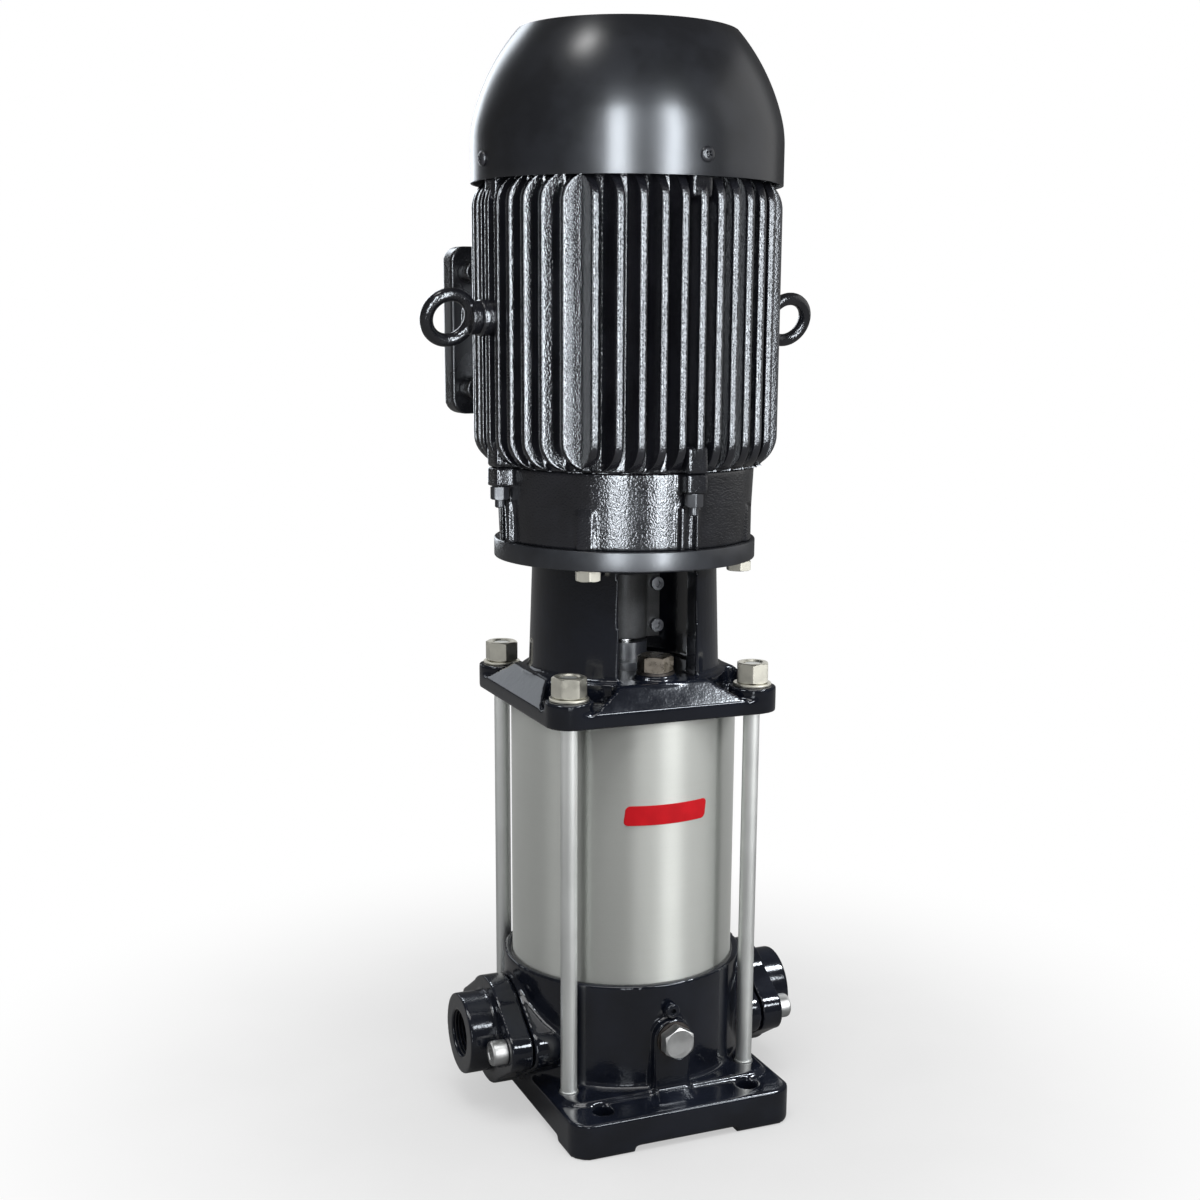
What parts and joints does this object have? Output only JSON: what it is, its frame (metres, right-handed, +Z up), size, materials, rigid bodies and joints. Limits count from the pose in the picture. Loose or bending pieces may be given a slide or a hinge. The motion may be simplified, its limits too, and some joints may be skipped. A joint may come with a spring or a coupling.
{
  "type": "vertical multistage centrifugal pump",
  "caption": "Vertical in-line multistage water pump with side ports on a rectangular foot, a steel sleeve between tie rods, a coupling lantern and a finned electric motor on top.",
  "frame": {"origin": "on the shaft axis, level with the underside of the foot, in the middle of the four foot holes", "axes": "+Z up along the shaft, +X towards the discharge port, -Y towards the drain plug"},
  "size_m": [0.271, 0.2579, 0.669],
  "materials": {
    "cast_black": "gloss black paint on rough casting",
    "box_black": "gloss black paint",
    "cover_black": "satin black paint",
    "ring_black": "satin black paint",
    "dark_steel": "black oxide",
    "zinc_steel": "zinc plated",
    "bright_steel": "bright machined",
    "stainless_sleeve": "brushed round the axis",
    "stainless_pressed": "pressed sheet",
    "shaft_steel": "ground",
    "coupling_grey": "grey satin",
    "core_steel": "stacked sheet",
    "copper_wire": "varnished copper wire",
    "black_rubber": "matte",
    "soft_copper": "dull",
    "seal_carbon": "lapped",
    "seal_ceramic": "lapped",
    "neck_plastic": "moulded",
    "fan_plastic": "moulded",
    "block_plastic": "moulded",
    "label_red": "gloss, plain"
  },
  "bodies": {
    "pump_unit": {"base_casting": "cast_black", "suction_flange": "cast_black", "discharge_flange": "cast_black", "flange_gaskets": "black_rubber", "flange_screws": "bright_steel", "drain_plug": "bright_steel", "plug_seals": "soft_copper", "outer_sleeve": "stainless_sleeve", "sleeve_seals": "black_rubber", "stage_chamber_1": "stainless_pressed", "stage_chamber_2": "stainless_pressed", "stage_chamber_3": "stainless_pressed", "stage_chamber_4": "stainless_pressed", "stage_chamber_5": "stainless_pressed", "neck_rings": "neck_plastic", "inlet_plate": "stainless_pressed", "lower_bearing_bush": "seal_carbon", "pump_head": "cast_black", "tie_rods": "bright_steel", "rod_nuts": "zinc_steel", "rod_washers": "zinc_steel", "priming_plug": "bright_steel", "seal_gland": "ring_black", "seal_seat": "seal_ceramic", "bearing_outer_rings": "shaft_steel", "adapter_plate": "ring_black", "adapter_screws": "dark_steel", "flange_bolts": "zinc_steel", "drive_end_shield": "cast_black", "shield_bolts": "dark_steel", "motor_frame": "cast_black", "stator_core": "core_steel", "stator_windings": "copper_wire", "eye_bolts": "box_black", "terminal_box": "cast_black", "terminal_box_lid": "box_black", "lid_screws": "zinc_steel", "terminal_block": "block_plastic", "rear_end_shield": "cast_black", "fan_cover": "cover_black", "cover_screws": "dark_steel", "label_plate": "label_red"},
    "rotor": {"pump_shaft": "shaft_steel", "impeller_1": "stainless_pressed", "impeller_2": "stainless_pressed", "impeller_3": "stainless_pressed", "impeller_4": "stainless_pressed", "impeller_5": "stainless_pressed", "impeller_nut": "bright_steel", "seal_ring": "seal_carbon", "seal_bellows": "black_rubber", "coupling_half_front": "coupling_grey", "coupling_half_rear": "coupling_grey", "coupling_screws": "dark_steel", "motor_shaft": "shaft_steel", "rotor_core": "core_steel", "fan": "fan_plastic", "bearing_inner_rings": "shaft_steel"},
    "lower_ball_cage": {"lower_bearing_balls": "shaft_steel"},
    "upper_ball_cage": {"upper_bearing_balls": "shaft_steel"}
  },
  "joints": [
    {"name": "rotor_spin", "type": "hinge", "parent": "pump_unit", "child": "rotor", "pos_m": [0, 0, 0.45], "axis": [0, 0, 1], "continuous": true},
    {"name": "lower_cage_spin", "type": "hinge", "parent": "pump_unit", "child": "lower_ball_cage", "pos_m": [0, 0, 0.3865], "axis": [0, 0, 1], "continuous": true},
    {"name": "upper_cage_spin", "type": "hinge", "parent": "pump_unit", "child": "upper_ball_cage", "pos_m": [0, 0, 0.593], "axis": [0, 0, 1], "continuous": true}
  ],
  "couplings": [
    {"joint": "lower_cage_spin", "follows": "rotor_spin", "ratio": 0.4013},
    {"joint": "upper_cage_spin", "follows": "rotor_spin", "ratio": 0.3925}
  ]
}
